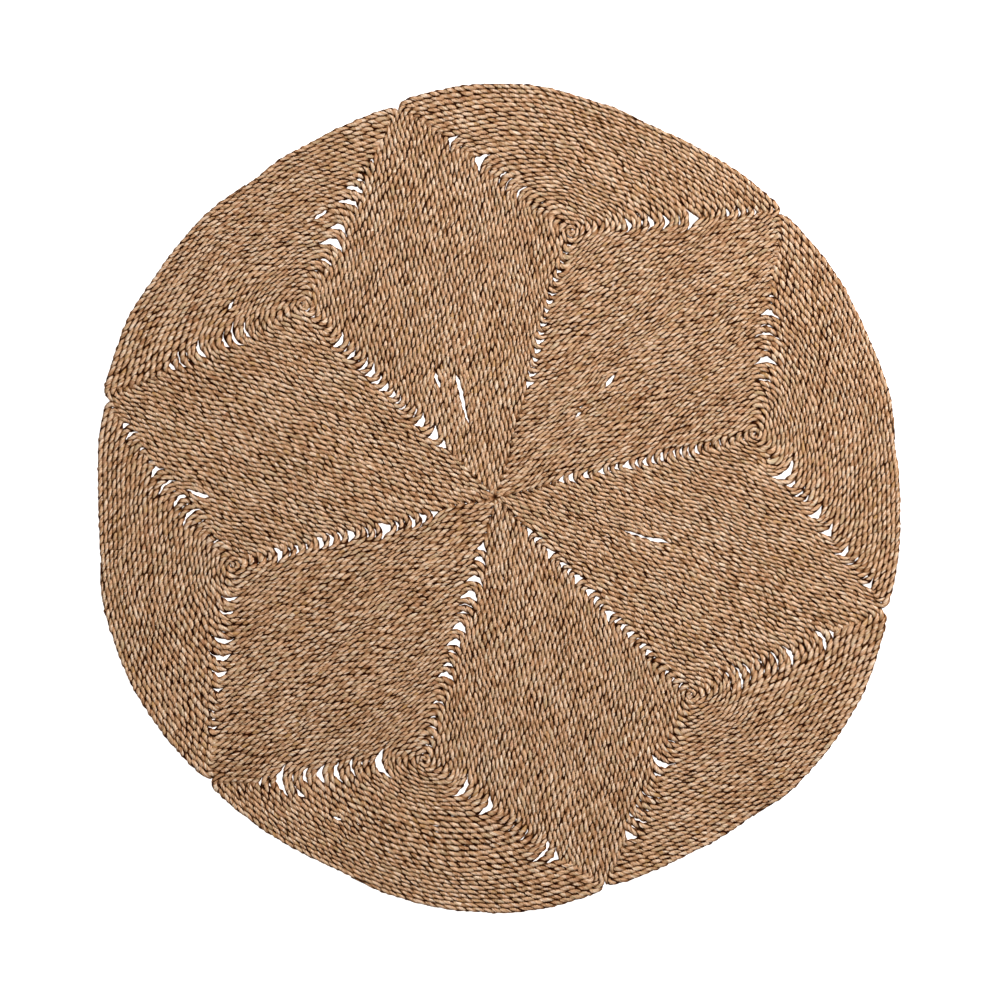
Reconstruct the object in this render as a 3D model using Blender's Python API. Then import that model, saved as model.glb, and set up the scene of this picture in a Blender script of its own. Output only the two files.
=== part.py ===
"""Round rug of six coiled rope wedges sewn edge to edge, in metres, +Z up, resting on z = 0."""

import math

import bmesh
import bpy
from mathutils import Vector
from mathutils.geometry import delaunay_2d_cdt

OBJECT_NAME = "coiled_rope_round_rug"

# Where the six wedges meet, measured from the centre of the rug's box.
HUB_X = -0.0058
HUB_Y = 0.0013

# One rope makes each wedge: so many turns from the border to the eye.
TURNS = 32
INNER_END_TURNS = 31.45
RIDGE_HEIGHT = 0.0065
VALLEY_HEIGHT = 0.0038
PANEL_CLEARANCE = 0.0003

# How far the rope's bends stay short of a sharp mitre, along the mitre.
BORDER_BLUNTING = 0.0020
VALLEY_BLUNTING = 0.0012
RIDGE_BLUNTING = 0.0026
BEND_REACH = 0.0100
BEND_REACH_SHARE = 0.20

# Through gaps at the bends, between one turn and the next.
HUB_GAP_DEPTH = 0.0056
RIM_GAP_DEPTH = 0.0040
GAP_DEPTH_SPREAD = 0.35
HUB_GAP_REACH = 0.0125
RIM_GAP_REACH = 0.0115
TURN_STEP = 0.618034
SEED_STEP = 0.377

# Division of a turn: the rim arc and the straight sides, outer and inner turns.
RIM_PARTS_OUTER = 8
RIM_PARTS_INNER = 4
SIDE_PARTS = 2
INNER_TURNS_FROM = 14

# Filling of the underside: the mode that keeps to the border's inside, and its merge distance.
TRIANGLES_INSIDE = 1
MERGE_DISTANCE = 0.0000001

FIBRE_COLOUR = (0.36, 0.22, 0.13, 1.0)
FIBRE_ROUGHNESS = 0.85
FIBRE_METALLIC = 0.0

# Bearings in degrees about the hub, counter-clockwise from +X; distances in metres;
# rim: outline radius at equal steps of bearing from start to end.
WEDGE_COLUMNS = ("name", "start", "end", "eye_bearing", "eye_distance", "rim")
WEDGES = (
    ("coil_right", -16.0, 45.0, 13.4, 0.3935, (0.597, 0.600, 0.599, 0.600, 0.598, 0.5995, 0.588)),
    ("coil_top", 45.0, 104.0, 72.6, 0.4089, (0.590, 0.5975, 0.598, 0.5995, 0.609, 0.6075, 0.594)),
    ("coil_upper_left", 104.0, 166.0, 134.8, 0.3998, (0.592, 0.591, 0.592, 0.594, 0.596, 0.6005, 0.591)),
    ("coil_left", 166.0, 225.0, 195.7, 0.4083, (0.590, 0.587, 0.589, 0.5995, 0.6015, 0.5995, 0.590)),
    ("coil_bottom", 225.0, 286.0, 255.7, 0.4178, (0.590, 0.5985, 0.600, 0.606, 0.611, 0.611, 0.595)),
    ("coil_lower_right", 286.0, 344.0, 315.0, 0.4060, (0.595, 0.5985, 0.6065, 0.6125, 0.6155, 0.6135, 0.599)),
)

# Turns that stand open at each bend, and the share of those turns that do.
GAP_COLUMNS = ("wedge", "bend", "first_turn", "last_turn", "share")
GAPS = (
    ("coil_right", "start", 6, 25, 0.70),
    ("coil_right", "end", 14, 22, 1.00),
    ("coil_right", "hub", 8, 27, 0.80),
    ("coil_top", "start", 5, 27, 0.50),
    ("coil_top", "end", 9, 20, 0.55),
    ("coil_top", "hub", 12, 26, 0.75),
    ("coil_upper_left", "start", 10, 20, 1.00),
    ("coil_upper_left", "end", 10, 22, 0.65),
    ("coil_upper_left", "hub", 9, 27, 0.90),
    ("coil_left", "start", 6, 25, 0.60),
    ("coil_left", "end", 6, 25, 0.75),
    ("coil_left", "hub", 7, 24, 0.90),
    ("coil_bottom", "start", 8, 26, 0.70),
    ("coil_bottom", "end", 8, 23, 0.65),
    ("coil_bottom", "hub", 6, 26, 0.95),
    ("coil_lower_right", "start", 8, 16, 1.00),
    ("coil_lower_right", "end", 8, 20, 0.90),
    ("coil_lower_right", "hub", 5, 25, 0.90),
)

BENDS = ("start", "end", "hub")


def row_of(columns, values):
    return dict(zip(columns, values))


def polar(radius, degrees):
    angle = math.radians(degrees)
    return Vector((radius * math.cos(angle), radius * math.sin(angle)))


def between(values, share):
    place = share * (len(values) - 1)
    first = min(int(place), len(values) - 2)
    part = place - first
    return values[first] * (1.0 - part) + values[first + 1] * part


def corners_of(wedge):
    """The wedge's three corners, each side drawn in by half the clearance between panels."""
    inset = PANEL_CLEARANCE / 2.0
    half_angle = math.radians(wedge["end"] - wedge["start"]) / 2.0
    middle = (wedge["start"] + wedge["end"]) / 2.0
    return {
        "start": polar(wedge["rim"][0], wedge["start"]) + polar(inset, wedge["start"] + 90.0),
        "end": polar(wedge["rim"][-1], wedge["end"]) + polar(inset, wedge["end"] - 90.0),
        "hub": polar(inset / math.sin(half_angle), middle),
    }


def rim_point(wedge, share):
    corners = corners_of(wedge)
    if share <= 0.0:
        return corners["start"]
    if share >= 1.0:
        return corners["end"]
    bearing = wedge["start"] + share * (wedge["end"] - wedge["start"])
    return polar(between(wedge["rim"], share), bearing)


def side_point(wedge, side, share):
    """A point of the wedge's border: side 0 is the rim, 1 runs to the hub, 2 runs out again."""
    if side == 0:
        return rim_point(wedge, share)
    corners = corners_of(wedge)
    first = corners[BENDS[side]]
    last = corners[BENDS[(side + 1) % len(BENDS)]]
    return first.lerp(last, share)


def side_length(wedge, side):
    steps = 12
    points = [side_point(wedge, side, step / steps) for step in range(steps + 1)]
    return sum((b - a).length for a, b in zip(points, points[1:]))


def stations(turn):
    """Stations of one turn: (side, kind, share); a bend opens each side."""
    rim_parts = RIM_PARTS_OUTER if turn < INNER_TURNS_FROM else RIM_PARTS_INNER
    result = []
    for side, parts in enumerate((rim_parts, SIDE_PARTS, SIDE_PARTS)):
        result.append((side, "bend", 0.0))
        result.append((side, "leaving", 0.0))
        result.extend((side, "run", step / parts) for step in range(1, parts))
        result.append((side, "nearing", 1.0))
    return result


def variation(turn, seed):
    return (turn * TURN_STEP + seed * SEED_STEP) % 1.0


def gap_depths(wedge):
    """Depth of the through gap at (turn, side whose first bend it is)."""
    depths = {}
    for seed, values in enumerate(GAPS):
        gap = row_of(GAP_COLUMNS, values)
        if gap["wedge"] != wedge["name"]:
            continue
        side = BENDS.index(gap["bend"])
        full = HUB_GAP_DEPTH if gap["bend"] == "hub" else RIM_GAP_DEPTH
        for turn in range(gap["first_turn"], gap["last_turn"] + 1):
            if variation(turn, seed) <= gap["share"]:
                spread = GAP_DEPTH_SPREAD * variation(turn, seed + 1)
                depths[(turn, side)] = full * (1.0 - spread)
    return depths


class Coil:
    """Ridge and valley lines of one wedge's rope."""

    def __init__(self, wedge):
        self.wedge = wedge
        self.eye = polar(wedge["eye_distance"], wedge["eye_bearing"])
        self.lengths = [side_length(wedge, side) for side in range(len(BENDS))]
        self.gaps = gap_depths(wedge)

    def reach(self, side, depth_turns, wide):
        size = 1.0 - depth_turns / TURNS
        return min(wide / self.lengths[side] / size, BEND_REACH_SHARE)

    def share_along(self, station, depth_turns, wide):
        side, kind, share = station
        if kind == "leaving":
            return self.reach(side, depth_turns, wide)
        if kind == "nearing":
            return 1.0 - self.reach(side, depth_turns, wide)
        return share

    def fraction(self, station):
        """How far round the turn a station stands, by length of border."""
        side = station[0]
        done = sum(self.lengths[:side]) + self.lengths[side] * self.share_along(station, 0.0, BEND_REACH)
        return done / sum(self.lengths)

    def point(self, station, depth_turns, blunting=0.0, wide=BEND_REACH):
        """The border's station shrunk towards the eye by so many turns."""
        size = 1.0 - depth_turns / TURNS
        on_border = side_point(self.wedge, station[0], self.share_along(station, depth_turns, wide))
        arm = (on_border - self.eye) * size
        if station[1] == "bend":
            arm -= arm.normalized() * min(blunting, arm.length / 4.0)
        return self.eye + arm

    def gap_reach(self, turn, station):
        """Reach of a bend's gap along the turn at a station beside that bend."""
        side, kind, _ = station
        if kind == "nearing":
            side += 1
        bend_turn = turn + side // len(BENDS)
        side %= len(BENDS)
        if (bend_turn, side) not in self.gaps:
            return BEND_REACH
        return HUB_GAP_REACH if BENDS[side] == "hub" else RIM_GAP_REACH


def blunting_at(full, grown):
    """Blunting of a line on the first turn, which grows away from the border."""
    return BORDER_BLUNTING + (full - BORDER_BLUNTING) * grown


def add_vertex(bm, flat, height):
    return bm.verts.new((flat.x + HUB_X, flat.y + HUB_Y, height))


def loft(bm, outer, inner):
    """One strip of the loft from an outer line to an inner one, which may have fewer points."""
    ring = outer + inner[::-1]
    kept = [vert for index, vert in enumerate(ring) if vert not in ring[:index]]
    bm.faces.new(kept)


def rope_lines(bm, coil):
    """Vertices of the border, ridge and valley lines, by (turn, station)."""
    border = {}
    ridge = {}
    valley_outer = {}
    valley_inner = {}
    path = []
    for station in stations(0):
        flat = coil.point(station, 0.0, BORDER_BLUNTING)
        border[station] = add_vertex(bm, flat, VALLEY_HEIGHT)
    for turn in range(TURNS):
        for station in stations(turn):
            depth = turn + coil.fraction(station)
            if depth > INNER_END_TURNS:
                break
            key = (turn, station)
            path.append(key)
            if depth == 0.0:
                ridge[key] = valley_outer[key] = valley_inner[key] = border[station]
                continue
            ridge_depth = (depth + max(0.0, depth - 1.0)) / 2.0
            grown = min(1.0, depth)
            ridge_flat = coil.point(station, ridge_depth, blunting_at(RIDGE_BLUNTING, grown))
            ridge[key] = add_vertex(bm, ridge_flat, VALLEY_HEIGHT + (RIDGE_HEIGHT - VALLEY_HEIGHT) * grown)
            wide = coil.gap_reach(turn, station)
            valley_flat = coil.point(station, depth, blunting_at(VALLEY_BLUNTING, grown), wide)
            valley_outer[key] = add_vertex(bm, valley_flat, VALLEY_HEIGHT)
            valley_inner[key] = valley_outer[key]
            gap = coil.gaps.get((turn, station[0]), 0.0) if station[1] == "bend" else 0.0
            if gap:
                inner_flat = coil.point(station, depth, VALLEY_BLUNTING + gap)
                valley_inner[key] = add_vertex(bm, inner_flat, VALLEY_HEIGHT)
    return border, ridge, valley_outer, valley_inner, path


def outer_line(border, valley_inner, first, last):
    """The line outside one stretch of rope: the border, or the turn before."""
    turn, station = first
    if turn == 0:
        whole = [((0, key), border[key]) for key in stations(0)] + [((1, stations(1)[0]), border[stations(0)[0]])]
    else:
        whole = [((turn, key), valley_inner[(turn - 1, key)]) for key in stations(turn - 1)]
        whole.append(((turn + 1, stations(turn)[0]), valley_inner[(turn, stations(turn)[0])]))
    keys = [key for key, _ in whole]
    begin = keys.index((turn, station))
    finish = keys.index(last)
    return [vert for _, vert in whole[begin:finish + 1]]


def rope_surface(bm, coil):
    """Top of the coil: each turn rises from its outer valley to the ridge and falls to the next."""
    border, ridge, valley_outer, valley_inner, path = rope_lines(bm, coil)
    for first, last in zip(path, path[1:]):
        outside = outer_line(border, valley_inner, first, last)
        loft(bm, outside, [ridge[first], ridge[last]])
        loft(bm, [ridge[first], ridge[last]], [valley_outer[first], valley_outer[last]])
    end_turn, end_station = path[-1]
    start = path.index((end_turn - 1, end_station))
    ring = [valley_inner[key] for key in path[start:]] + [ridge[path[-1]]]
    eye = bm.faces.new(ring)
    bmesh.ops.poke(bm, faces=[eye])


def foot_loops(feet):
    """The closed loops of the walls' feet, as lists of numbers in feet, counter-clockwise."""
    number = {vert: index for index, vert in enumerate(feet)}
    waiting = dict.fromkeys(feet)
    loops = []
    while waiting:
        vert = next(iter(waiting))
        loop = []
        while vert in waiting:
            del waiting[vert]
            loop.append(number[vert])
            sides = [edge.other_vert(vert) for edge in vert.link_edges if edge.is_boundary]
            vert = next((side for side in sides if side in waiting), vert)
        area = sum(feet[a].co.xy.cross(feet[b].co.xy) for a, b in zip(loop, loop[1:] + loop[:1]))
        loops.append(loop if area > 0.0 else loop[::-1])
    return sorted(loops, key=len, reverse=True)


def fill_underside(bm, feet):
    """Flat underside inside the border's loop, left open inside the loops of the gaps."""
    loops = foot_loops(feet)
    flat = [vert.co.xy for vert in feet]
    filled = delaunay_2d_cdt(flat, [], loops, TRIANGLES_INSIDE, MERGE_DISTANCE)
    for triangle, sources in zip(filled[2], filled[5]):
        if list(sources) == [0]:
            bm.faces.new([feet[filled[3][corner][0]] for corner in triangle])


def close_below(bm):
    """Walls from every open edge of the top down to the flat underside, then the underside."""
    open_edges = [edge for edge in bm.edges if edge.is_boundary]
    walls = bmesh.ops.extrude_edge_only(bm, edges=open_edges)["geom"]
    for item in walls:
        if isinstance(item, bmesh.types.BMVert):
            item.co.z = 0.0
    feet = [item for item in walls if isinstance(item, bmesh.types.BMVert)]
    fill_underside(bm, feet)
    bmesh.ops.triangulate(bm, faces=bm.faces[:], quad_method="SHORT_EDGE", ngon_method="BEAUTY")
    bmesh.ops.recalc_face_normals(bm, faces=bm.faces[:])


def rope_material(name):
    material = bpy.data.materials.new(name + "_seagrass")
    material.use_nodes = True
    shader = material.node_tree.nodes["Principled BSDF"]
    shader.inputs["Base Color"].default_value = FIBRE_COLOUR
    shader.inputs["Roughness"].default_value = FIBRE_ROUGHNESS
    shader.inputs["Metallic"].default_value = FIBRE_METALLIC
    return material


def build_coil(wedge, collection):
    bm = bmesh.new()
    rope_surface(bm, Coil(wedge))
    close_below(bm)
    mesh = bpy.data.meshes.new(wedge["name"])
    bm.to_mesh(mesh)
    bm.free()
    mesh.materials.append(rope_material(wedge["name"]))
    collection.objects.link(bpy.data.objects.new(wedge["name"], mesh))


def main():
    for item in list(bpy.data.objects):
        bpy.data.objects.remove(item, do_unlink=True)
    collection = bpy.data.collections.new(OBJECT_NAME)
    bpy.context.scene.collection.children.link(collection)
    for values in WEDGES:
        build_coil(row_of(WEDGE_COLUMNS, values), collection)


main()
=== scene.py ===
"""Looks of the round grass rope rug: six wedge panels, each a twisted rope wound about its own eye."""
import math

import bmesh
import bpy
import numpy as np
from bpy.props import FloatProperty, FloatVectorProperty, IntProperty, PointerProperty
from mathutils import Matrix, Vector


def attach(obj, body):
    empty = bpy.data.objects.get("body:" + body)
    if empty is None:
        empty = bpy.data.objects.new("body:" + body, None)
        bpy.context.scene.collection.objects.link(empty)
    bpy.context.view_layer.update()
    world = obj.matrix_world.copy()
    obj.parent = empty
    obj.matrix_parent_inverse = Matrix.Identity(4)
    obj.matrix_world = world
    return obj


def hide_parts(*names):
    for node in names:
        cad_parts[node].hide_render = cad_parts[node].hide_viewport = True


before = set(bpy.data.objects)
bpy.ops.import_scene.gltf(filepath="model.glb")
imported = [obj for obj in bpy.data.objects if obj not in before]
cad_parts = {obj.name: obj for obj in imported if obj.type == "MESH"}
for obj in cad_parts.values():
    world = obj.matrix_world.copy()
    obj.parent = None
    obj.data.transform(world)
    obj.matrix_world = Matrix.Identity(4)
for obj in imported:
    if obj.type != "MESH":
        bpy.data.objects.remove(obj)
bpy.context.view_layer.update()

bl_info = {
    "name": "Round rope rug",
    "version": (1, 0, 0),
    "blender": (4, 5, 0),
    "location": "View3D > Sidebar > Rope rug",
    "description": "Dresses the round rug's six wedge panels in twisted grass rope",
    "category": "Add Mesh",
}

# Where the six wedges meet, from the centre of the rug.
HUB = np.array((-0.0058, 0.0013))
SIDES = ("start", "end", "hub")


def table(columns, rows):
    """Rows of values under the names of their columns."""
    return [dict(zip(columns, row)) for row in rows]


# Bearings in degrees about the hub; distances in metres; rim: outline radius at equal steps;
# turns: from border to eye; drift: how far the innermost have moved from where the mitres meet.
WEDGES = table(("node", "start", "end", "eye_bearing", "eye_distance", "seed", "turns", "drift", "rim"), (
    ("coil_right", -16.0, 45.0, 13.4, 0.3935, 3, 33, (0.0, 0.0),
     (0.600, 0.600, 0.599, 0.600, 0.598, 0.599, 0.595)),
    ("coil_top", 45.0, 104.0, 72.6, 0.4089, 11, 32, (-0.010, 0.0),
     (0.599, 0.5985, 0.598, 0.5995, 0.608, 0.6075, 0.599)),
    ("coil_upper_left", 104.0, 166.0, 134.8, 0.3998, 19, 31, (0.001, -0.002),
     (0.592, 0.591, 0.592, 0.594, 0.596, 0.600, 0.595)),
    ("coil_left", 166.0, 225.0, 195.7, 0.4083, 29, 29, (0.007, 0.009),
     (0.589, 0.587, 0.589, 0.598, 0.6015, 0.5995, 0.5935)),
    ("coil_bottom", 225.0, 286.0, 255.7, 0.4178, 37, 31, (0.0, 0.020),
     (0.596, 0.5985, 0.600, 0.606, 0.611, 0.611, 0.599)),
    ("coil_lower_right", 286.0, 344.0, 315.0, 0.4060, 47, 30, (0.0, -0.004),
     (0.5955, 0.5985, 0.6065, 0.6125, 0.6155, 0.6125, 0.602)),
))

# Bends that stand open: the outermost open turn, the share of turns that are open, and how far.
OPEN_BENDS = table(("node", "bend", "first_turn", "share", "size"), (
    ("coil_right", "start", 5, 0.85, 1.02),
    ("coil_right", "end", 12, 0.95, 1.26),
    ("coil_right", "hub", 8, 0.90, 0.96),
    ("coil_top", "start", 5, 0.75, 0.88),
    ("coil_top", "end", 9, 0.75, 1.33),
    ("coil_top", "hub", 11, 0.90, 0.74),
    ("coil_upper_left", "start", 9, 0.95, 1.33),
    ("coil_upper_left", "end", 9, 0.80, 1.36),
    ("coil_upper_left", "hub", 8, 1.00, 1.33),
    ("coil_left", "start", 5, 0.80, 1.20),
    ("coil_left", "end", 6, 0.80, 1.39),
    ("coil_left", "hub", 6, 0.95, 1.17),
    ("coil_bottom", "start", 8, 0.75, 1.24),
    ("coil_bottom", "end", 8, 0.80, 1.39),
    ("coil_bottom", "hub", 5, 0.95, 1.41),
    ("coil_lower_right", "start", 8, 0.95, 1.42),
    ("coil_lower_right", "end", 8, 0.95, 1.86),
    ("coil_lower_right", "hub", 5, 0.95, 0.93),
))

# The largest gaps: the turn whose bend has drawn in, and how much further than its neighbours.
LARGE_GAPS = table(("node", "bend", "turn", "further"), (
    ("coil_bottom", "start", 10, 0.0036),
    ("coil_bottom", "start", 24, 0.0050),
    ("coil_bottom", "end", 9, 0.0028),
    ("coil_bottom", "end", 23, 0.0026),
    ("coil_bottom", "hub", 10, 0.0030),
    ("coil_bottom", "hub", 12, 0.0030),
    ("coil_bottom", "hub", 17, 0.0030),
    ("coil_bottom", "hub", 20, 0.0030),
    ("coil_left", "start", 14, 0.0035),
    ("coil_left", "start", 19, 0.0035),
    ("coil_left", "end", 24, 0.0035),
    ("coil_left", "hub", 11, 0.0025),
    ("coil_left", "hub", 16, 0.0030),
    ("coil_left", "hub", 23, 0.0040),
    ("coil_right", "start", 25, 0.0042),
    ("coil_right", "hub", 22, 0.0025),
    ("coil_top", "start", 14, 0.0035),
    ("coil_top", "start", 16, 0.0030),
    ("coil_top", "end", 14, 0.0030),
    ("coil_upper_left", "hub", 18, 0.0025),
    ("coil_upper_left", "hub", 21, 0.0025),
    ("coil_upper_left", "hub", 23, 0.0030),
    ("coil_upper_left", "hub", 24, 0.0060),
    ("coil_lower_right", "end", 16, 0.0030),
))

# How round the bends grow towards the eye: share of the way out to the border, and rounding.
ROUNDING_LEVELS = (0.04, 0.10, 0.16, 0.22, 0.30, 0.42, 0.525, 0.745, 0.85, 1.0)
ROUNDINGS = (1.0, 0.50, 0.32, 0.26, 0.200, 0.140, 0.106, 0.068, 0.052, 0.010)

# Places where two turns have drawn apart along their run, measured from the centre of the rug.
SLITS = table(("x", "y", "direction", "length", "width"), (
    (-0.4416, 0.0057, 166.0, 0.029, 0.0040),
    (-0.2605, 0.4150, 31.0, 0.019, 0.0034),
    (0.2327, -0.0620, -16.0, 0.024, 0.0034),
    (0.2034, -0.0532, -16.0, 0.026, 0.0026),
    (0.1635, 0.1721, 45.0, 0.020, 0.0040),
    (0.1163, 0.1250, 45.0, 0.014, 0.0028),
    (-0.0912, 0.1736, 104.0, 0.018, 0.0044),
    (-0.0574, 0.1662, 104.0, 0.024, 0.0036),
    (-0.0530, 0.1412, 104.0, 0.026, 0.0036),
    (-0.0471, 0.1176, 104.0, 0.016, 0.0026),
    (-0.2914, -0.4360, 147.0, 0.014, 0.0040),
    (-0.2370, -0.4698, 150.0, 0.012, 0.0026),
    (-0.3930, 0.2826, 54.0, 0.013, 0.0028),
))

# Slow waves that the whole rug lies in: amplitude, then waves a metre along x and y, and phase.
WAVES = table(("amplitude", "along_x", "along_y", "phase"), (
    (0.0011, 3.1, 5.3, 0.4),
    (0.0009, -6.7, 4.1, 2.1),
    (0.0007, 9.2, 7.9, 4.0),
    (0.0005, -12.5, 14.2, 1.3),
    (0.0004, 21.0, -17.0, 5.2),
))

# The waves along y are this much finer and later, and all of them grow calmer close to the rim.
CROSS_WAVE = 1.13
CROSS_PHASE = 1.0
WAVES_AT_RIM = 0.35
RIM_RADIUS = 0.60
RIM_BAND = 0.05

# Shares of a side over which the turns' spacing, a corner's angle and the rope's heading are taken.
SPACING_REACH = 0.06
CORNER_REACH = 0.03
HEADING_REACH = 0.01

# The innermost turn keeps at least this share of the border's size.
SMALLEST_TURN = 0.01

# How unevenly the bends draw in from turn to turn: the least, and how much more at most.
HUB_UNEVENNESS = (0.60, 0.72)
RIM_UNEVENNESS = (0.45, 1.20)

# Keeps the draws for a bend's size apart from those for whether it is folded shut.
GROWTH_DRAWS = 500

# From this turn on, no bend is folded shut by chance.
ALWAYS_OPEN = 18

# A bend's own size counts for less towards the eye.
OWN_SIZE_RISE = 4.0
OWN_SIZE_START = 0.3

# The outer turns step inwards in this stretch of the rim side. Further in they sink evenly all round.
STEP_START = 0.04
STEP_LENGTH = 0.42
EVEN_TURN = 19.0
EVEN_TURNS = 6.0

# Turns over which the coil drifts to where its eye really lies.
DRIFT_TURN = 8.0
DRIFT_TURNS = 18.0

# Points of the path along the rim side and the two straight ones, and round an open bend.
SIDE_POINTS = (24, 8, 8)
ARC_POINTS = 13

# The outer end is the first of these points that lies so many spacings inside the rim.
START_POINTS = 24
START_DEPTH = 0.35

# The outer end's thickness, and the stations over which the rope grows to its full one.
TIP_SIZE = 0.30
TAPER_STATIONS = 14.0

# Rope beside a fold swells a little too.
FOLD_NEIGHBOUR = 0.10

# Points nearer than this count as one.
SAME_PLACE = 1e-7

# Neighbours are looked for level with a station, within a share of a step, and past the rope's own.
BAND = 0.75
OWN_STATIONS = 2

# In turns' spacings: nearer than this it is the rope itself, and the rope is never narrower than that.
OWN_WIDTH = 0.3
NARROWEST = 0.80

# The turns at a slit part by a share of its width, over a share of its length, and this far to its sides.
SLIT_PUSH = 0.92
SLIT_REACH = 0.60
SLIT_FADE = 0.012

# Where the rope begins to lie looser near the eye, as shares of the way out to the border.
EYE_LEVEL = 0.26
EYE_BAND = 0.10

# How unevenly thick the rope is, and by how many radians its twist wanders at a station.
UNEVEN_WIDTH = 0.09
UNEVEN_TWIST = 0.17

# Points round the rope, and the share of its lower half over which it spreads out.
SECTION_POINTS = 10
PRESSED_HEIGHT = 0.35

# Where along its turn a strand passes underneath, as a share of a lay.
LOBE_PHASE = 0.25

# Leaf blades side by side around the rope, how they lean and sway, and where their edges begin.
BLADES = 9.0
LEAN = 0.10
SWAY = 2.0
BLADE_EDGE = (0.26, 0.5)

# How fine each pattern is: in waves a lay, then in waves round the rope, or in waves a metre.
SWAY_WAVES = 1.7
DRIFT_WAVES = 0.5
STREAK_WAVES = (1.6, 12.0)
BLADE_WAVES = (1.0, 6.0)
STRETCH_WAVES = 0.33
UNEVEN_WAVES = (2.4, 2.0)
PATCH_WAVES = 9.0

# What makes a leaf light or dark: by lobe, stretch of rope, streak, band of leaves, blade and patch.
TONE_SHARES = {"leaf": 0.28, "drift": 0.35, "streak": 0.72, "blade": 0.50, "own": 0.66, "patch": 0.22}
TAN_TONES = (0.90, 1.36)
PALE_TONES = (1.22, 1.88)

# Leaves of another hue: which blades, stretches of rope and lobes, and how strongly they take it.
RUST_BLADES = (0.60, 1.0)
RUST_STRENGTH = 0.40
GREEN_BLADES = (0.0, 0.35)
GREEN_STRENGTH = 0.44
GREEN_STRETCHES = (0.55, 0.72)
GREEN_STRETCH_STRENGTH = 0.45
RUST_LOBES = 0.975
RUST_LOBE_STRENGTH = 0.8
AMBER_LOBES = 0.030
AMBER_LOBE_STRENGTH = 0.75
LOBE_STREAKS = (0.35, 0.6)

# Painted shade for depth: darker in the groove between strands, low on the rope's flank, in the pits where
# grooves meet, at folded bends and blade edges; darker too close to the hub; and where the colour turns
# umber and then near-black.
GROOVE_CRESTS = (-1.0, -0.35)
FLANK_HEIGHTS = (0.25, 0.98)
PIT_SHARES = {"groove": 0.42, "low": 0.64, "uneven": 1.5}
PIT_DEPTHS = (0.50, 0.92)
HUB_DARK = (0.0010, 0.0050)
SHADES = {"groove": 0.12, "low": 0.44, "pit": 0.95, "hub_dark": 0.92, "folded": 0.9, "edge": 0.26}
PAINTED_UMBER_SHADES = (0.06, 0.60)
PAINTED_UMBER_STRENGTH = 0.76
PAINTED_CREVICE_SHADES = (0.15, 1.0)

# Relief of the dry leaves, and their roughness from the dullest streaks to the smoothest.
RELIEF_SHARES = {"streak": 0.45, "blade": 0.35, "groove": -0.6, "edge": -0.35}
RELIEF_STRENGTH = 0.55
RELIEF_HEIGHT = 0.0009
ROUGHNESSES = (0.82, 0.56)
GLOSSY_STREAKS = (0.3, 0.8)
SPECULAR = 0.04

# Stage: where the softboxes stand and how large they are, and the white floor and surroundings.
OVERHEAD_PLACE = (0.7, 0.8, 3.0)
OVERHEAD_SIZE = 1.6
SIDE_PLACE = (3.1, 2.8, 1.75)
SIDE_SIZE = 1.3
WORLD_STRENGTH = 0.35
WHITE = (1.0, 1.0, 1.0, 1.0)
FLOOR_HALF = 6.0
FLOOR_DROP = 0.0004
FLOOR_WHITE = 0.9
FLOOR_GLOW = 0.85
SENSOR_WIDTH = 36.0
FAR_CLIP = 100.0


def ramp(value, start, length):
    """0 before the start, then rising evenly to 1 over the length."""
    return np.clip((value - start) / length, 0.0, 1.0)


def eased(share):
    """The same way from 0 to 1, slow at both ends."""
    return share * share * (3.0 - 2.0 * share)


def polar(radius, degrees):
    angle = math.radians(degrees)
    return np.array((radius * math.cos(angle), radius * math.sin(angle)))


def repeatable(*numbers):
    """A fixed number from 0 to 1 for a turn, a bend and a coil."""
    return np.random.default_rng([int(n) + 1000 for n in numbers]).random()


class RugSizes(bpy.types.PropertyGroup):
    """Sizes of the rope and of its winding."""

    strands: IntProperty(name="Strands", description="Strands twisted into the rope", default=2)
    lay: FloatProperty(
        name="Lay", description="Length of rope in which a strand goes once round", default=0.0286,
        subtype="DISTANCE", unit="LENGTH",
    )
    thickness: FloatProperty(
        name="Thickness", description="Height of the rope as it lies", default=0.0068,
        subtype="DISTANCE", unit="LENGTH",
    )
    broad: FloatProperty(
        name="Over the strands", description="Rope's width over its strands, in turns' spacings",
        default=1.16, subtype="FACTOR",
    )
    waist: FloatProperty(
        name="Between strands", description="Rope's width in its grooves, in turns' spacings",
        default=0.92, subtype="FACTOR",
    )
    pressed: FloatProperty(
        name="Pressed", description="How much broader the rope is where it lies on the floor",
        default=0.42, subtype="FACTOR",
    )
    stations_per_lay: IntProperty(
        name="Stations", description="Sections of rope modelled in one lay", default=8,
    )
    closed_setback: FloatProperty(
        name="Closed bend", description="A bend that stays back less than this is folded shut",
        default=0.0016, subtype="DISTANCE", unit="LENGTH",
    )
    rim_rounding: FloatVectorProperty(
        name="Rim rounding", description="How far the first turns stay short of the rim's corners",
        default=(0.0040, 0.0026, 0.0018), unit="LENGTH",
    )
    tip_overlap: FloatProperty(
        name="Tip overlap", description="How far the panels' tips press past the middle of the rug",
        default=0.0016, subtype="DISTANCE", unit="LENGTH",
    )
    loose: FloatProperty(
        name="Loose rope", description="How much broader the rope lies where it has room",
        default=1.19, subtype="FACTOR",
    )
    swollen: FloatProperty(
        name="Swollen at the eye", description="How much broader still it may lie close to the eye",
        default=0.45, subtype="FACTOR",
    )
    overlap: FloatProperty(
        name="Overlap", description="How far a turn reaches under its neighbour", default=0.0006,
        subtype="DISTANCE", unit="LENGTH",
    )
    bend_squeeze: FloatProperty(
        name="Squeeze at bends", description="How far turns may crowd at a bend, in turns' spacings",
        default=0.02, subtype="FACTOR",
    )


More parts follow.
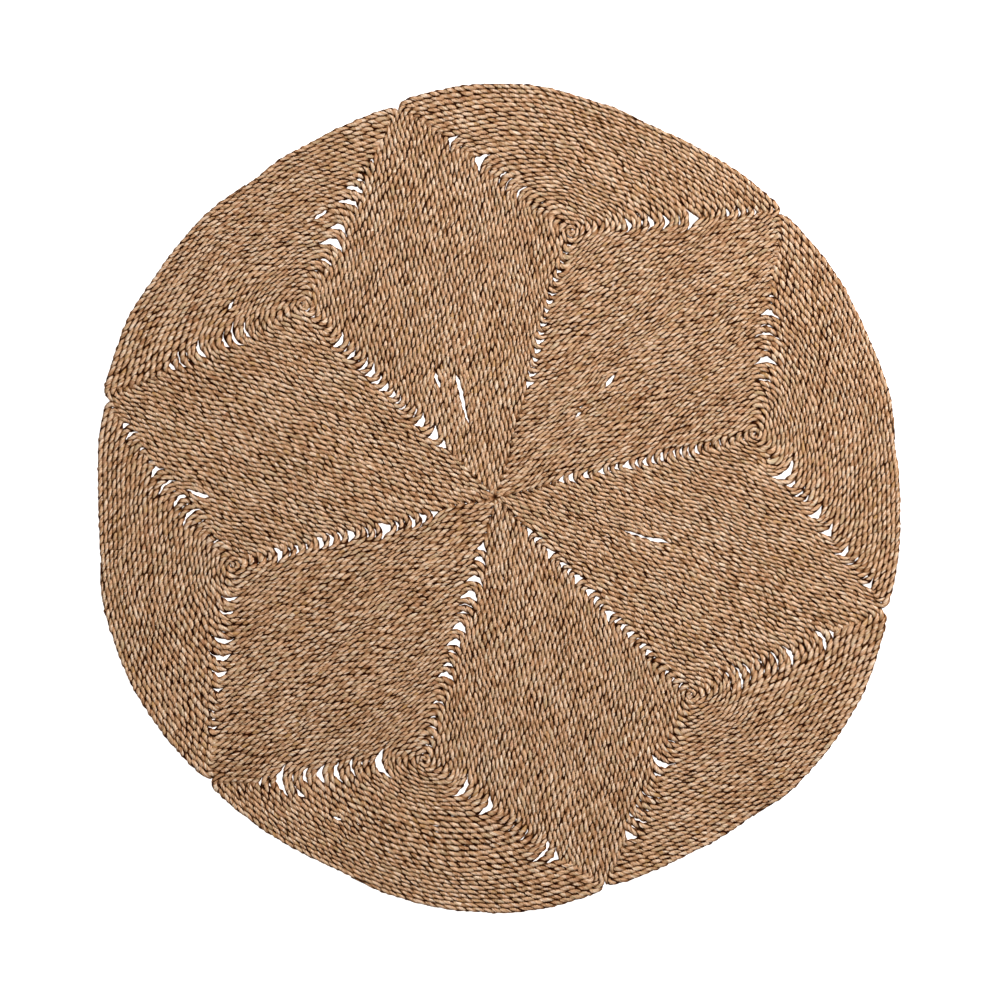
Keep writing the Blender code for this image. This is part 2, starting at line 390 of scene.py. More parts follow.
class RugColours(bpy.types.PropertyGroup):
    """Colours of the dry grass, and of the shade painted down between the turns and strands."""

    pale: FloatVectorProperty(
        name="Pale grass", description="Bleached leaves", default=(1.0, 0.79, 0.595), subtype="COLOR",
    )
    tan: FloatVectorProperty(
        name="Tan grass", description="Most of the leaves", default=(0.79, 0.468, 0.262), subtype="COLOR",
    )
    brown: FloatVectorProperty(
        name="Brown grass", description="Darker leaves", default=(0.35, 0.175, 0.085), subtype="COLOR",
    )
    # Painted shade: the brown that leaves take where shade falls down between the turns.
    painted_shade_umber: FloatVectorProperty(
        name="Shaded grass", description="Leaves down between the turns",
        default=(0.30, 0.105, 0.016), subtype="COLOR",
    )
    rust: FloatVectorProperty(
        name="Rust grass", description="Leaf bases", default=(0.50, 0.235, 0.125), subtype="COLOR",
    )
    amber: FloatVectorProperty(
        name="Amber grass", description="Orange and yellow leaves",
        default=(0.58, 0.33, 0.125), subtype="COLOR",
    )
    grey_green: FloatVectorProperty(
        name="Grey-green grass", description="Leaves cut green",
        default=(0.50, 0.41, 0.24), subtype="COLOR",
    )
    # Painted shade: near-black where shade falls deep between the strands.
    painted_crevice_shade: FloatVectorProperty(
        name="Crevices", description="Deep between the strands",
        default=(0.026, 0.004, 0.0001), subtype="COLOR",
    )


class RugStage(bpy.types.PropertyGroup):
    """Floor, light and camera."""

    photo_width: FloatProperty(
        name="Width in view", description="Breadth of floor across the picture", default=1.4724,
        subtype="DISTANCE", unit="LENGTH",
    )
    camera_height: FloatProperty(
        name="Camera height", description="Height of the camera above the rug", default=4.5,
        subtype="DISTANCE", unit="LENGTH",
    )
    camera_x: FloatProperty(
        name="Camera x", description="Camera right of the rug's centre", default=0.0016,
        subtype="DISTANCE", unit="LENGTH",
    )
    camera_y: FloatProperty(
        name="Camera y", description="Camera above the rug's centre", default=-0.0031,
        subtype="DISTANCE", unit="LENGTH",
    )
    soft_light: FloatProperty(
        name="Overhead light", description="Power of the overhead softbox", default=44.0,
        subtype="POWER", unit="POWER",
    )
    side_light: FloatProperty(
        name="Side light", description="Power of the softbox at the side", default=168.0,
        subtype="POWER", unit="POWER",
    )


class Value:
    """A number on a socket, so that shader maths reads as Python."""

    def __init__(self, shader, socket):
        self.shader = shader
        self.socket = socket

    def __add__(self, other):
        return self.shader.maths("ADD", self, other)

    def __radd__(self, other):
        return self.shader.maths("ADD", other, self)

    def __sub__(self, other):
        return self.shader.maths("SUBTRACT", self, other)

    def __rsub__(self, other):
        return self.shader.maths("SUBTRACT", other, self)

    def __mul__(self, other):
        return self.shader.maths("MULTIPLY", self, other)

    def __rmul__(self, other):
        return self.shader.maths("MULTIPLY", other, self)

    def __gt__(self, other):
        return self.shader.maths("GREATER_THAN", self, other)

    def __lt__(self, other):
        return self.shader.maths("LESS_THAN", self, other)


class Shader:
    """One material's nodes."""

    def __init__(self, name):
        self.material = bpy.data.materials.new(name)
        self.material.use_nodes = True
        self.tree = self.material.node_tree
        self.surface = self.tree.nodes["Principled BSDF"]

    def node(self, kind, settings, values):
        """A node with its settings made first, then values or links on its sockets."""
        made = self.tree.nodes.new(kind)
        for key, value in settings.items():
            setattr(made, key, value)
        for key, value in values.items():
            self.feed(made.inputs[key], value)
        return made

    def feed(self, socket, value):
        if isinstance(value, Value):
            self.tree.links.new(value.socket, socket)
        elif isinstance(value, bpy.types.NodeSocket):
            self.tree.links.new(value, socket)
        elif socket.type == "RGBA" and len(value) == 3:
            socket.default_value = (*value, 1.0)
        else:
            socket.default_value = value

    def value(self, socket):
        return Value(self, socket)

    def vectors(self, operation, values):
        return self.node("ShaderNodeVectorMath", {"operation": operation}, values)

    def combine(self, x, y, z):
        return self.node("ShaderNodeCombineXYZ", {}, {"X": x, "Y": y, "Z": z}).outputs[0]

    def noise(self, place, detail=0.0, rough=0.5):
        made = self.node(
            "ShaderNodeTexNoise", {"noise_dimensions": "3D"},
            {"Vector": place, "Scale": 1.0, "Detail": detail, "Roughness": rough},
        )
        return self.value(made.outputs["Fac"])

    def maths(self, operation, first, second=0.0):
        made = self.node("ShaderNodeMath", {"operation": operation}, {0: first, 1: second})
        return self.value(made.outputs[0])

    def attribute(self, name):
        return self.value(self.node("ShaderNodeAttribute", {"attribute_name": name}, {}).outputs["Fac"])

    def random(self, place):
        return self.value(self.node("ShaderNodeTexWhiteNoise", {}, {"Vector": place}).outputs["Value"])

    def step(self, value, ends, to_low=0.0, to_high=1.0):
        """A smooth step between two ends, from one level to another."""
        made = self.node(
            "ShaderNodeMapRange", {"interpolation_type": "SMOOTHSTEP", "clamp": True},
            {"Value": value, "From Min": ends[0], "From Max": ends[1], "To Min": to_low, "To Max": to_high},
        )
        return self.value(made.outputs["Result"])

    def mix(self, factor, first, second):
        """Blends two colours: the mix node's colour sockets are its seventh and eighth."""
        settings = {"data_type": "RGBA", "blend_type": "MIX"}
        return self.node("ShaderNodeMix", settings, {"Factor": factor, 6: first, 7: second}).outputs[2]

    def constant(self, name, value):
        self.surface.inputs[name].default_value = value

    def result(self, name, value):
        self.feed(self.surface.inputs[name], value)


def between(values, share):
    """The value at a share of the way along evenly spaced ones."""
    return np.interp(share * (len(values) - 1), range(len(values)), values)


class Coil:
    """Path of one panel's rope from the rim to the eye."""

    def __init__(self, wedge, sizes):
        self.wedge = wedge
        self.sizes = sizes
        self.turns = wedge["turns"]
        self.eye = polar(wedge["eye_distance"], wedge["eye_bearing"])
        self.corners = (
            polar(wedge["rim"][0], wedge["start"]),
            polar(wedge["rim"][-1], wedge["end"]),
            polar(-sizes.tip_overlap, wedge["eye_bearing"]),
        )
        half = math.radians(wedge["end"] - wedge["start"]) / 2.0
        outward = between(wedge["rim"], 0.5)
        middle = outward / (1.0 + math.sin(half))
        touch = middle * math.cos(half) / outward
        self.inner_radius = middle * math.sin(half)
        # Where the largest circle inside the panel touches each side.
        self.touches = (0.5, 1.0 - touch, touch)
        self.roundings = [self.bend_roundings(bend) for bend in range(3)]

    def border(self, side, share):
        """A place on the panel's border: side 0 is the rim, and the other two are straight."""
        if side == 0 and 0.0 < share < 1.0:
            bearing = self.wedge["start"] + share * (self.wedge["end"] - self.wedge["start"])
            return polar(between(self.wedge["rim"], share), bearing)
        first = self.corners[side]
        last = self.corners[(side + 1) % 3]
        return first + (last - first) * share

    def spacing(self, side, share):
        """Distance between neighbouring turns at a place on a side, in metres."""
        first = self.border(side, max(share - SPACING_REACH, 0.0))
        last = self.border(side, min(share + SPACING_REACH, 1.0))
        along = (last - first) / np.linalg.norm(last - first)
        arm = self.eye - first
        return abs(float(along[0] * arm[1] - along[1] * arm[0])) / self.turns

    def half_angle(self, bend):
        """Half of the angle between the two sides that meet at a bend."""
        corner = self.corners[bend]
        before = self.border((bend - 1) % 3, 1.0 - CORNER_REACH) - corner
        after = self.border(bend, CORNER_REACH) - corner
        cosine = before @ after / (np.linalg.norm(before) * np.linalg.norm(after))
        return math.acos(cosine) / 2.0

    def bend_roundings(self, bend):
        """How round each turn lies at one bend: 0 is folded sharp, 1 is a full circle."""
        sizes = self.sizes
        here = (self.wedge["node"], SIDES[bend])
        rule = next(row for row in OPEN_BENDS if (row["node"], row["bend"]) == here)
        large = {row["turn"]: row["further"] for row in LARGE_GAPS if (row["node"], row["bend"]) == here}
        at_hub = SIDES[bend] == "hub"
        least, more = HUB_UNEVENNESS if at_hub else RIM_UNEVENNESS
        beyond = 1.0 / math.sin(self.half_angle(bend)) - 1.0
        step = self.spacing(bend, 0.0) * (beyond - sizes.bend_squeeze)
        found = []
        last = 0.0
        for turn in range(self.turns + 1):
            level = max(1.0 - turn / self.turns, SMALLEST_TURN)
            widest = self.inner_radius * level * beyond
            wanted = widest * np.interp(level, ROUNDING_LEVELS, ROUNDINGS)
            growth = least + more * repeatable(turn, bend, self.wedge["seed"] + GROWTH_DRAWS)
            own_size = ramp(level * OWN_SIZE_RISE, OWN_SIZE_START, 1.0)
            wanted *= 1.0 + (rule["size"] * growth - 1.0) * own_size
            closed = repeatable(turn, bend, self.wedge["seed"]) > rule["share"]
            if turn < rule["first_turn"] or (closed and turn < ALWAYS_OPEN):
                near_rim = not at_hub and turn < len(sizes.rim_rounding)
                wanted = sizes.rim_rounding[turn] if near_rim else 0.0
            wanted += large.get(turn, 0.0)
            last = min(max(wanted, last - step), widest)
            found.append(last / widest if last > sizes.closed_setback else 0.0)
        return found

    def depth(self, turn, side, share):
        """How many turns the rope's middle lies inside the border."""
        evenly = ramp(turn, EVEN_TURN, EVEN_TURNS)
        stepped = eased(ramp(side + share, STEP_START, STEP_LENGTH))
        return turn - 0.5 + stepped + (side / 3.0 + share / 3.0 - stepped) * evenly

    def place(self, turn, side, share):
        """The same place on one of the turns."""
        size = 1.0 - self.depth(turn, side, share) / self.turns
        return self.eye + (self.border(side, share) - self.eye) * max(size, SMALLEST_TURN)

    def heading(self, turn, side, share):
        first = self.place(turn, side, max(share - HEADING_REACH, 0.0))
        last = self.place(turn, side, min(share + HEADING_REACH, 1.0))
        return (last - first) / np.linalg.norm(last - first)

    def path(self):
        """Points along the rope: rows of x, y, turns' spacing, depth in turns and mitre."""
        rows = []
        for turn in range(self.turns):
            for side in range(3):
                bend = (side + 1) % 3
                next_turn = turn + (side + 1) // 3
                opening = self.roundings[side][turn] * self.touches[side]
                closing = self.roundings[bend][next_turn] * (1.0 - self.touches[side])
                count = int(2 + SIDE_POINTS[side] * (1.0 - closing - opening))
                for share in np.linspace(opening, 1.0 - closing, count):
                    depth = self.depth(turn, side, share)
                    rows.append((*self.place(turn, side, share), self.spacing(side, share), depth, 0.0))
                if next_turn < self.turns:
                    self.round_bend(rows, turn, side, next_turn, bend)
        rows.append((*(2.0 * self.eye - rows[-1][:2]), *rows[-1][2:]))
        points = np.array(rows)
        part = eased(ramp(points[:, 3], DRIFT_TURN, DRIFT_TURNS))
        points[:, :2] += part[:, None] * np.array(self.wedge["drift"])
        return points[self.rope_start(points):]

    def round_bend(self, rows, turn, side, next_turn, bend):
        """A closed bend is folded at its mitre; an open one swings round in an arc."""
        rounding = self.roundings[bend][next_turn]
        if rounding == 0.0:
            rows[-1] = (*rows[-1][:4], 1.0 / math.sin(self.half_angle(bend)))
            return
        closing = rounding * (1.0 - self.touches[side])
        opening = rounding * self.touches[bend]
        first = self.place(turn, side, 1.0 - closing)
        last = self.place(next_turn, bend, opening)
        arriving = self.heading(turn, side, 1.0 - closing)
        leaving = self.heading(next_turn, bend, opening)
        swing = math.acos(min(max(float(arriving @ leaving), -1.0), 1.0))
        handle = np.linalg.norm(last - first) / (3.0 * math.cos(swing / 4.0) ** 2)
        spacing = (self.spacing(side, 1.0) + self.spacing(bend, 0.0)) / 2.0
        depth = self.depth(turn, side, 1.0)
        for share in np.linspace(0.0, 1.0, ARC_POINTS)[1:-1]:
            rest = 1.0 - share
            spot = first * rest**3 + 3.0 * (first + arriving * handle) * rest**2 * share
            spot = spot + 3.0 * (last - leaving * handle) * rest * share**2 + last * share**3
            rows.append((*spot, spacing, depth, 0.0))

    def rope_start(self, points):
        """The outer end lies where the first turn leaves the border."""
        points = points[:START_POINTS]
        inside = np.linalg.norm(points[:, :2], axis=1)
        rim = np.array([self.rim_radius(point) for point in points[:, :2]])
        return int(np.argmax(rim - inside > START_DEPTH * points[:, 2]))

    def rim_radius(self, point):
        bearing = math.degrees(math.atan2(point[1], point[0]))
        turn = (bearing - self.wedge["start"]) % 360.0
        share = min(turn / (self.wedge["end"] - self.wedge["start"]), 1.0)
        return between(self.wedge["rim"], share)


def even_stations(rows, step):
    """The path's rows at equal steps of length, one of them on every folded mitre."""
    gaps = np.linalg.norm(np.diff(rows[:, :2], axis=0), axis=1)
    length = np.concatenate(([0.0], np.cumsum(gaps)))
    keep = np.concatenate(([True], np.diff(length) > SAME_PLACE))
    places = np.arange(0.0, length[-1], step)
    swell = np.zeros(len(places))
    for index in np.flatnonzero(rows[:, 4] > 0.0):
        station = min(int(round(length[index] / step)), len(places) - 2)
        places[station] = length[index]
        swell[station] = rows[index, 4] - 1.0
        swell[station - 1] = max(swell[station - 1], FOLD_NEIGHBOUR)
        swell[station + 1] = max(swell[station + 1], FOLD_NEIGHBOUR)
    even = np.stack([np.interp(places, length[keep], column[keep]) for column in rows.T], 1)
    even[:, 4] = swell
    return even


def directions(spots):
    """Unit vectors along the rope and across it at each station."""
    ahead = np.gradient(spots, axis=0)
    ahead /= np.linalg.norm(ahead, axis=1)[:, None]
    return ahead, np.stack((-ahead[:, 1], ahead[:, 0]), 1)


def room_beside(spots, spacing, loose):
    """The breadth that the neighbouring turns leave for the rope at each station."""
    ahead, across = directions(spots)
    step = np.linalg.norm(spots[1] - spots[0])
    order = np.arange(len(spots))
    found = np.empty(len(spots))
    for index in order:
        arms = spots - spots[index]
        level_with = np.abs(arms @ ahead[index]) < BAND * step
        sides = arms[level_with & (np.abs(order - index) > OWN_STATIONS)] @ across[index]
        left = sides[sides > OWN_WIDTH * spacing[index]]
        right = -sides[sides < -OWN_WIDTH * spacing[index]]
        least = [side.min() for side in (left, right) if len(side)]
        widest = loose[index] * spacing[index]
        rooms = [min(room, widest) for room in least]
        found[index] = sum(rooms) / len(rooms) if rooms else spacing[index]
    found = np.maximum(found, NARROWEST * spacing)
    padded = np.concatenate((found[:1], found, found[-1:]))
    return (padded[:-2] + padded[1:-1] + padded[2:]) / 3.0


def waver(spots):
    """Slow waves in the lie of the turns, the same for neighbours, in places from the rug's centre."""
    spots = spots + HUB
    moved = np.zeros_like(spots)
    for wave in WAVES:
        cycles = wave["along_x"] * spots[:, 0] + wave["along_y"] * spots[:, 1]
        angle = 2.0 * math.pi * cycles + wave["phase"]
        moved[:, 0] += wave["amplitude"] * np.sin(angle)
        moved[:, 1] += wave["amplitude"] * np.cos(angle * CROSS_WAVE + CROSS_PHASE)
    inside = ramp(RIM_RADIUS - np.linalg.norm(spots - HUB, axis=1), 0.0, RIM_BAND)
    return spots + moved * (WAVES_AT_RIM + (1.0 - WAVES_AT_RIM) * inside)[:, None]


def part_at_slits(spots, overlap):
    """Pushes turns apart at the slits, by the slit's breadth and what the rope overhangs."""
    moved = np.zeros_like(spots)
    for slit in SLITS:
        along = polar(1.0, slit["direction"])
        across = np.array((-along[1], along[0]))
        arm = spots - (slit["x"], slit["y"])
        run = arm @ along
        side = arm @ across
        push = (slit["width"] * SLIT_PUSH + overlap) * np.exp(-((run / (SLIT_REACH * slit["length"])) ** 4))
        moved += (np.sign(side) * push * np.exp(-np.abs(side) / SLIT_FADE))[:, None] * across
    return spots + moved


def rope_section(name, sizes):
    """Closed outline across the rope, with a groove between its strands."""
    curve = bpy.data.curves.new(name, "CURVE")
    curve.dimensions = "2D"
    spline = curve.splines.new("POLY")
    spline.use_cyclic_u = True
    spline.points.add(SECTION_POINTS - 1)
    for index, point in enumerate(spline.points):
        angle = 2.0 * math.pi * index / SECTION_POINTS
        crest = 0.5 + 0.5 * math.cos(sizes.strands * angle)
        radius = 0.5 * (sizes.waist + (sizes.broad - sizes.waist) * crest)
        point.co = (radius * math.cos(angle), radius * math.sin(angle), 0.0, 1.0)
    made = bpy.data.objects.new(name, curve)
    bpy.context.scene.collection.objects.link(made)
    return made


def discard(curve_object):
    curve = curve_object.data
    bpy.data.objects.remove(curve_object, do_unlink=True)
    bpy.data.curves.remove(curve)


def rope_curve(name, coil, section):
    """The rope as a curve with the section swept along it, turning once in each lay."""
    sizes = coil.sizes
    step = sizes.lay / sizes.stations_per_lay
    rows = even_stations(coil.path(), step)
    spots = waver(rows[:, :2])
    level = 1.0 - rows[:, 3] / coil.turns
    loose = sizes.loose + sizes.swollen * ramp(EYE_LEVEL - level, 0.0, EYE_BAND)
    rows[:, 2] = room_beside(spots, rows[:, 2], loose)
    spots = part_at_slits(spots, sizes.overlap)
    count = len(spots)
    generator = np.random.default_rng(coil.wedge["seed"])
    uneven = np.convolve(generator.normal(0.0, 1.0, count + 2), np.ones(3) / 3.0, "valid") * UNEVEN_WIDTH
    taper = TIP_SIZE + (1.0 - TIP_SIZE) * ramp(np.arange(count), 0.0, TAPER_STATIONS)
    # The thin outer end is tucked against the next turn.
    inward = coil.eye - rows[:, :2]
    inward /= np.linalg.norm(inward, axis=1)[:, None]
    spots += inward * (0.5 * (1.0 - taper) * rows[:, 2])[:, None]
    curve = bpy.data.curves.new(name, "CURVE")
    curve.dimensions = "3D"
    curve.twist_mode = "Z_UP"
    curve.bevel_mode = "OBJECT"
    curve.bevel_object = section
    curve.use_fill_caps = True
    spline = curve.splines.new("POLY")
    spline.points.add(count - 1)
    places = np.column_stack((spots, np.full(count, sizes.thickness / 2.0), np.ones(count)))
    spline.points.foreach_set("co", places.astype(np.float32).ravel())
    spline.points.foreach_set("radius", (rows[:, 2] * taper * (1.0 + uneven)).astype(np.float32))
    jitter = np.cumsum(generator.normal(0.0, UNEVEN_TWIST, count))
    tilt = 2.0 * math.pi / sizes.stations_per_lay * np.arange(count) + jitter
    spline.points.foreach_set("tilt", tilt.astype(np.float32))
    made = bpy.data.objects.new(name, curve)
    bpy.context.scene.collection.objects.link(made)
    return made, spots, np.column_stack((rows, tilt / (2.0 * math.pi)))


def write_value(mesh, name, values):
    """An attribute for the material, the same all round each section of the rope."""
    made = mesh.attributes.new(name, "FLOAT", "POINT")
    made.data.foreach_set("value", np.repeat(values, len(mesh.vertices) // len(values)).astype(np.float32))


def flatten_rope(mesh, spots, rows, sizes):
    """Presses the rope to its height, and swells it sideways where a bend is closed."""
    places = np.empty(len(mesh.vertices) * 3, np.float32)
    mesh.vertices.foreach_get("co", places)
    # The mesh lists the cap at the eye, the cap at the rim, then the sections from the rim on.
    order = np.concatenate(([len(spots) - 1, 0], np.arange(len(spots))))
    across = directions(spots)[1][order]
    spots = spots[order]
    rows = rows[order]
    body = places.reshape(len(order), -1, 3)
    side = ((body[:, :, :2] - spots[:, None, :]) * across[:, None, :]).sum(2)
    middle = sizes.thickness / 2.0
    low = ramp(middle - body[:, :, 2], 0.0, PRESSED_HEIGHT * middle)
    spread = rows[:, 4][:, None] + sizes.pressed * low
    body[:, :, :2] += (side * spread)[:, :, None] * across[:, None, :]
    rise = body[:, :, 2] - middle
    tallest = np.maximum(np.abs(rise).max(1), sizes.broad * rows[:, 2] / 2.0)
    body[:, :, 2] = middle + rise * (middle / tallest)[:, None]
    mesh.vertices.foreach_set("co", body.ravel())
    write_value(mesh, "folded", np.clip(rows[:, 4], 0.0, 1.0))
    write_value(mesh, "lays", rows[:, 5])
    mesh.update()


def rope_mesh(curve_object, spots, rows, sizes):
    graph = bpy.context.evaluated_depsgraph_get()
    mesh = bpy.data.meshes.new_from_object(curve_object.evaluated_get(graph), depsgraph=graph)
    mesh.name = curve_object.name
    flatten_rope(mesh, spots, rows, sizes)
    mesh.shade_smooth()
    return mesh


def weighed(shares, values):
    """The sum of the named values, each times its own share."""
    terms = [values[name] * share for name, share in shares.items()]
    return sum(terms[1:], terms[0])


def grass_values(shader, seed, sizes):
    """What changes over the rope: by strand, by lobe, by leaf blade, and with height for the painted shade.

    What is added to the seed or multiplies the strand only sets one pattern apart from another.
    """
    seed = float(seed)
    strands = float(sizes.strands)
    middle = sizes.thickness / 2.0
    uv = shader.node("ShaderNodeUVMap", {"uv_map": "UVMap"}, {}).outputs[0]
    place = shader.node("ShaderNodeTexCoord", {}, {}).outputs["Object"]
    around = shader.value(shader.node("ShaderNodeSeparateXYZ", {}, {0: uv}).outputs["Y"])
    height = shader.value(shader.node("ShaderNodeSeparateXYZ", {}, {0: place}).outputs["Z"])
    lays = shader.attribute("lays")
    strand = shader.maths("MODULO", shader.maths("FLOOR", around * strands + 0.5), strands)
    lobe = shader.maths("FLOOR", lays + strand * (1.0 / sizes.strands) + LOBE_PHASE)
    flow = around + lays * LEAN
    sway = shader.noise(shader.combine(lays * SWAY_WAVES, strand * 3.0, seed + 12.0), 1.0)
    lane = flow * BLADES + sway * SWAY
    number = shader.maths("FLOOR", lane)
    from_middle = shader.maths("ABSOLUTE", lane - number - 0.5)
    number = shader.maths("FLOORED_MODULO", number, BLADES) + 0.5
    own_lobe = lobe + strand * 0.25
    streaks = shader.combine(lays * STREAK_WAVES[0], flow * STREAK_WAVES[1], seed + strand * 9.0)
    patches = shader.vectors("SCALE", {0: place, "Scale": PATCH_WAVES}).outputs[0]
    from_hub = shader.vectors("DISTANCE", {0: place, 1: (*HUB, sizes.thickness)}).outputs["Value"]
    crest = shader.maths("COSINE", around * (2.0 * math.pi * sizes.strands))
    aside = shader.maths("ABSOLUTE", height - middle)
    flank = [middle * share for share in FLANK_HEIGHTS]
    uneven = shader.combine(lays * UNEVEN_WAVES[0], around * UNEVEN_WAVES[1], seed + 80.0)
    values = {
        "folded": shader.attribute("folded"),
        "leaf": shader.random(shader.combine(lobe, strand * 3.0, seed)),
        "drift": shader.noise(shader.combine(lays * DRIFT_WAVES, strand * 7.0, seed), 2.0),
        "streak": shader.noise(streaks, 2.0, 0.6),
        "blade": shader.noise(shader.combine(lays * BLADE_WAVES[0], flow * BLADE_WAVES[1], seed + 4.0), 1.0),
        "patch": shader.noise(patches, 2.0),
        "own": shader.random(shader.combine(number, own_lobe, seed + 6.0)),
        "hue": shader.random(shader.combine(number, own_lobe, seed + 16.0)),
        "lobe_hue": shader.random(shader.combine(lobe, strand * 5.0 + 2.0, seed + 31.0)),
        "green": shader.noise(shader.combine(lays * STRETCH_WAVES, strand * 11.0 + 3.0, seed + 60.0), 1.0),
        "uneven": shader.noise(uneven, 1.0) - 0.5,
        # Masks for the painted shade, the blade edges and groove also for relief: blade edges, the groove
        # between strands, low on the rope's flank.
        "edge": shader.step(from_middle, BLADE_EDGE),
        "groove": shader.step(crest, GROOVE_CRESTS, 1.0, 0.0),
        "low": shader.step(aside, flank, 1.0, 0.0),
        # Darker close to the hub.
        "hub_dark": shader.step(shader.value(from_hub), HUB_DARK, SHADES["hub_dark"], 0.0),
    }
    # Painted shade in the pits where groove, flank and unevenness add up.
    values["pit"] = shader.step(weighed(PIT_SHARES, values), PIT_DEPTHS)
    return values


def leaf_colour(shader, values, colours):
    """Brown to pale leaf by leaf, with rust, amber and grey-green ones among them."""
    tone = weighed(TONE_SHARES, values)
    grass = shader.mix(shader.step(tone, TAN_TONES), colours.brown, colours.tan)
    grass = shader.mix(shader.step(tone, PALE_TONES), grass, colours.pale)
    grass = shader.mix(shader.step(values["hue"], RUST_BLADES) * RUST_STRENGTH, grass, colours.rust)
    green = shader.step(values["hue"], GREEN_BLADES, GREEN_STRENGTH, 0.0)
    grass = shader.mix(green, grass, colours.grey_green)
    rusty = (values["lobe_hue"] > RUST_LOBES) * shader.step(values["streak"], LOBE_STREAKS)
    grass = shader.mix(rusty * RUST_LOBE_STRENGTH, grass, colours.rust)
    ambery = (values["lobe_hue"] < AMBER_LOBES) * shader.step(values["blade"], LOBE_STREAKS)
    grass = shader.mix(ambery * AMBER_LOBE_STRENGTH, grass, colours.amber)
    stretch = shader.step(values["green"], GREEN_STRETCHES) * GREEN_STRETCH_STRENGTH
    return shader.mix(stretch, grass, colours.grey_green)


def painted_depth_shade(values):
    """Painted shade for how deep a spot lies: 0 on top of a strand, 1 between strands and turns; darker too
    at folded bends, blade edges and close to the hub.
    """
    light = (1.0 - values["groove"] * SHADES["groove"]) * (1.0 - values["low"] * SHADES["low"])
    light = light * (1.0 - values["pit"] * SHADES["pit"]) * (1.0 - values["hub_dark"])
    light = light * (1.0 - values["folded"] * values["blade"] * SHADES["folded"])
    return 1.0 - light * (1.0 - values["edge"] * SHADES["edge"])


def grass_material(name, seed, sizes, colours):
    """Dry grass leaves twisted into strands, coloured leaf by leaf along the rope, with shade painted in
    where the rope lies deep.
    """
    shader = Shader(name)
    values = grass_values(shader, seed, sizes)
    grass = leaf_colour(shader, values, colours)
    shade = painted_depth_shade(values)
    # Painted shade: where the rope lies deep, the colour turns umber and then crevice-dark.
    grass = shader.mix(shader.step(shade, PAINTED_UMBER_SHADES) * PAINTED_UMBER_STRENGTH, grass, colours.painted_shade_umber)
    grass = shader.mix(shader.step(shade, PAINTED_CREVICE_SHADES), grass, colours.painted_crevice_shade)
    relief = weighed(RELIEF_SHARES, values)
    bump = {"Height": relief, "Strength": RELIEF_STRENGTH, "Distance": RELIEF_HEIGHT}
    shader.result("Base Color", grass)
    shader.result("Roughness", shader.step(values["streak"], GLOSSY_STREAKS, *ROUGHNESSES))
    shader.result("Normal", shader.node("ShaderNodeBump", {}, bump).outputs[0])
    shader.constant("Specular IOR Level", SPECULAR)
    return shader.material


class RUG_OT_coils(bpy.types.Operator):
    """Winds one twisted rope into each of the six panels"""

    bl_idname = "rug.coils"
    bl_label = "Wind the coils"

    def execute(self, context):
        sizes = context.scene.rug_sizes
        colours = context.scene.rug_colours
        section = rope_section("rope_section", sizes)
        for wedge in WEDGES:
            name = wedge["node"] + "_rope"
            curve, spots, rows = rope_curve(name + "_path", Coil(wedge, sizes), section)
            mesh = rope_mesh(curve, spots, rows, sizes)
            discard(curve)
            mesh.materials.clear()
            mesh.materials.append(grass_material(name, wedge["seed"], sizes, colours))
            piece = bpy.data.objects.new(name, mesh)
            context.scene.collection.objects.link(piece)
            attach(piece, "root")
            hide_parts(wedge["node"])
        discard(section)
        return {"FINISHED"}


def softbox(name, place, size, power):
    """A square light that faces the middle of the rug."""
    data = bpy.data.lights.new(name, "AREA")
    data.shape = "RECTANGLE"
    data.size = size
    data.size_y = size
    data.energy = power
    made = bpy.data.objects.new(name, data)
    made.location = place
    made.rotation_mode = "QUATERNION"
    made.rotation_quaternion = (-Vector(place)).to_track_quat("-Z", "Y")
    bpy.context.scene.collection.objects.link(made)


def floor_piece():
    """White floor, just below the rope."""
    bm = bmesh.new()
    bmesh.ops.create_grid(bm, x_segments=1, y_segments=1, size=FLOOR_HALF)
    bmesh.ops.translate(bm, verts=bm.verts[:], vec=(0.0, 0.0, -FLOOR_DROP))
    mesh = bpy.data.meshes.new("floor")
    bm.to_mesh(mesh)
    bm.free()
    shader = Shader("white_floor")
    shader.constant("Base Color", (FLOOR_WHITE, FLOOR_WHITE, FLOOR_WHITE, 1.0))
    shader.constant("Roughness", 1.0)
    shader.constant("Specular IOR Level", 0.0)
    shader.constant("Emission Color", WHITE)
    shader.constant("Emission Strength", FLOOR_GLOW)
    mesh.materials.append(shader.material)
    floor = bpy.data.objects.new("floor", mesh)
    bpy.context.scene.collection.objects.link(floor)


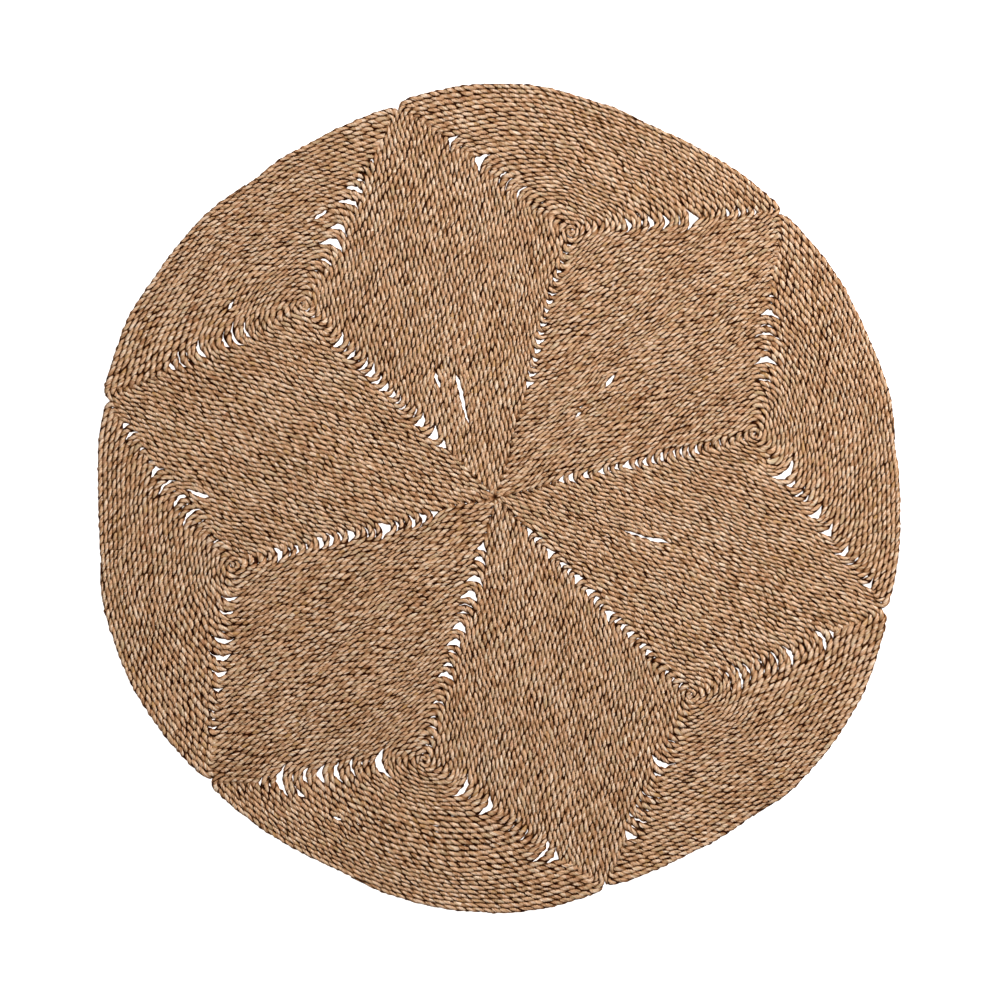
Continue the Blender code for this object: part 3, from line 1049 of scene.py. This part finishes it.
class RUG_OT_stage(bpy.types.Operator):
    """Lays the pale floor and sets the soft light and the camera"""

    bl_idname = "rug.stage"
    bl_label = "Set the stage"

    def execute(self, context):
        stage = context.scene.rug_stage
        floor_piece()
        softbox("overhead", OVERHEAD_PLACE, OVERHEAD_SIZE, stage.soft_light)
        softbox("side", SIDE_PLACE, SIDE_SIZE, stage.side_light)
        world = bpy.data.worlds.new("studio")
        world.use_nodes = True
        background = world.node_tree.nodes["Background"]
        background.inputs["Color"].default_value = WHITE
        background.inputs["Strength"].default_value = WORLD_STRENGTH
        context.scene.world = world
        context.scene.view_settings.view_transform = "Standard"
        data = bpy.data.cameras.new("camera")
        data.sensor_width = SENSOR_WIDTH
        data.lens = data.sensor_width * stage.camera_height / stage.photo_width
        data.clip_end = FAR_CLIP
        camera = bpy.data.objects.new("camera", data)
        camera.location = (stage.camera_x, stage.camera_y, stage.camera_height)
        context.scene.collection.objects.link(camera)
        context.scene.camera = camera
        return {"FINISHED"}


class RUG_PT_panel(bpy.types.Panel):
    """Lists the rug's steps"""

    bl_idname = "RUG_PT_panel"
    bl_label = "Rope rug"
    bl_space_type = "VIEW_3D"
    bl_region_type = "UI"
    bl_category = "Rope rug"

    def draw(self, context):
        for group in (context.scene.rug_sizes, context.scene.rug_colours, context.scene.rug_stage):
            for name in group.bl_rna.properties.keys():
                if name not in {"rna_type", "name"}:
                    self.layout.prop(group, name)
        self.layout.operator(RUG_OT_coils.bl_idname)
        self.layout.operator(RUG_OT_stage.bl_idname)


CLASSES = (RugSizes, RugColours, RugStage, RUG_OT_coils, RUG_OT_stage, RUG_PT_panel)


def register():
    for item in CLASSES:
        bpy.utils.register_class(item)
    bpy.types.Scene.rug_sizes = PointerProperty(type=RugSizes)
    bpy.types.Scene.rug_colours = PointerProperty(type=RugColours)
    bpy.types.Scene.rug_stage = PointerProperty(type=RugStage)


def unregister():
    del bpy.types.Scene.rug_stage
    del bpy.types.Scene.rug_colours
    del bpy.types.Scene.rug_sizes
    for item in reversed(CLASSES):
        bpy.utils.unregister_class(item)


def main():
    register()
    bpy.ops.rug.coils()
    bpy.ops.rug.stage()


if __name__ == "__main__":
    main()
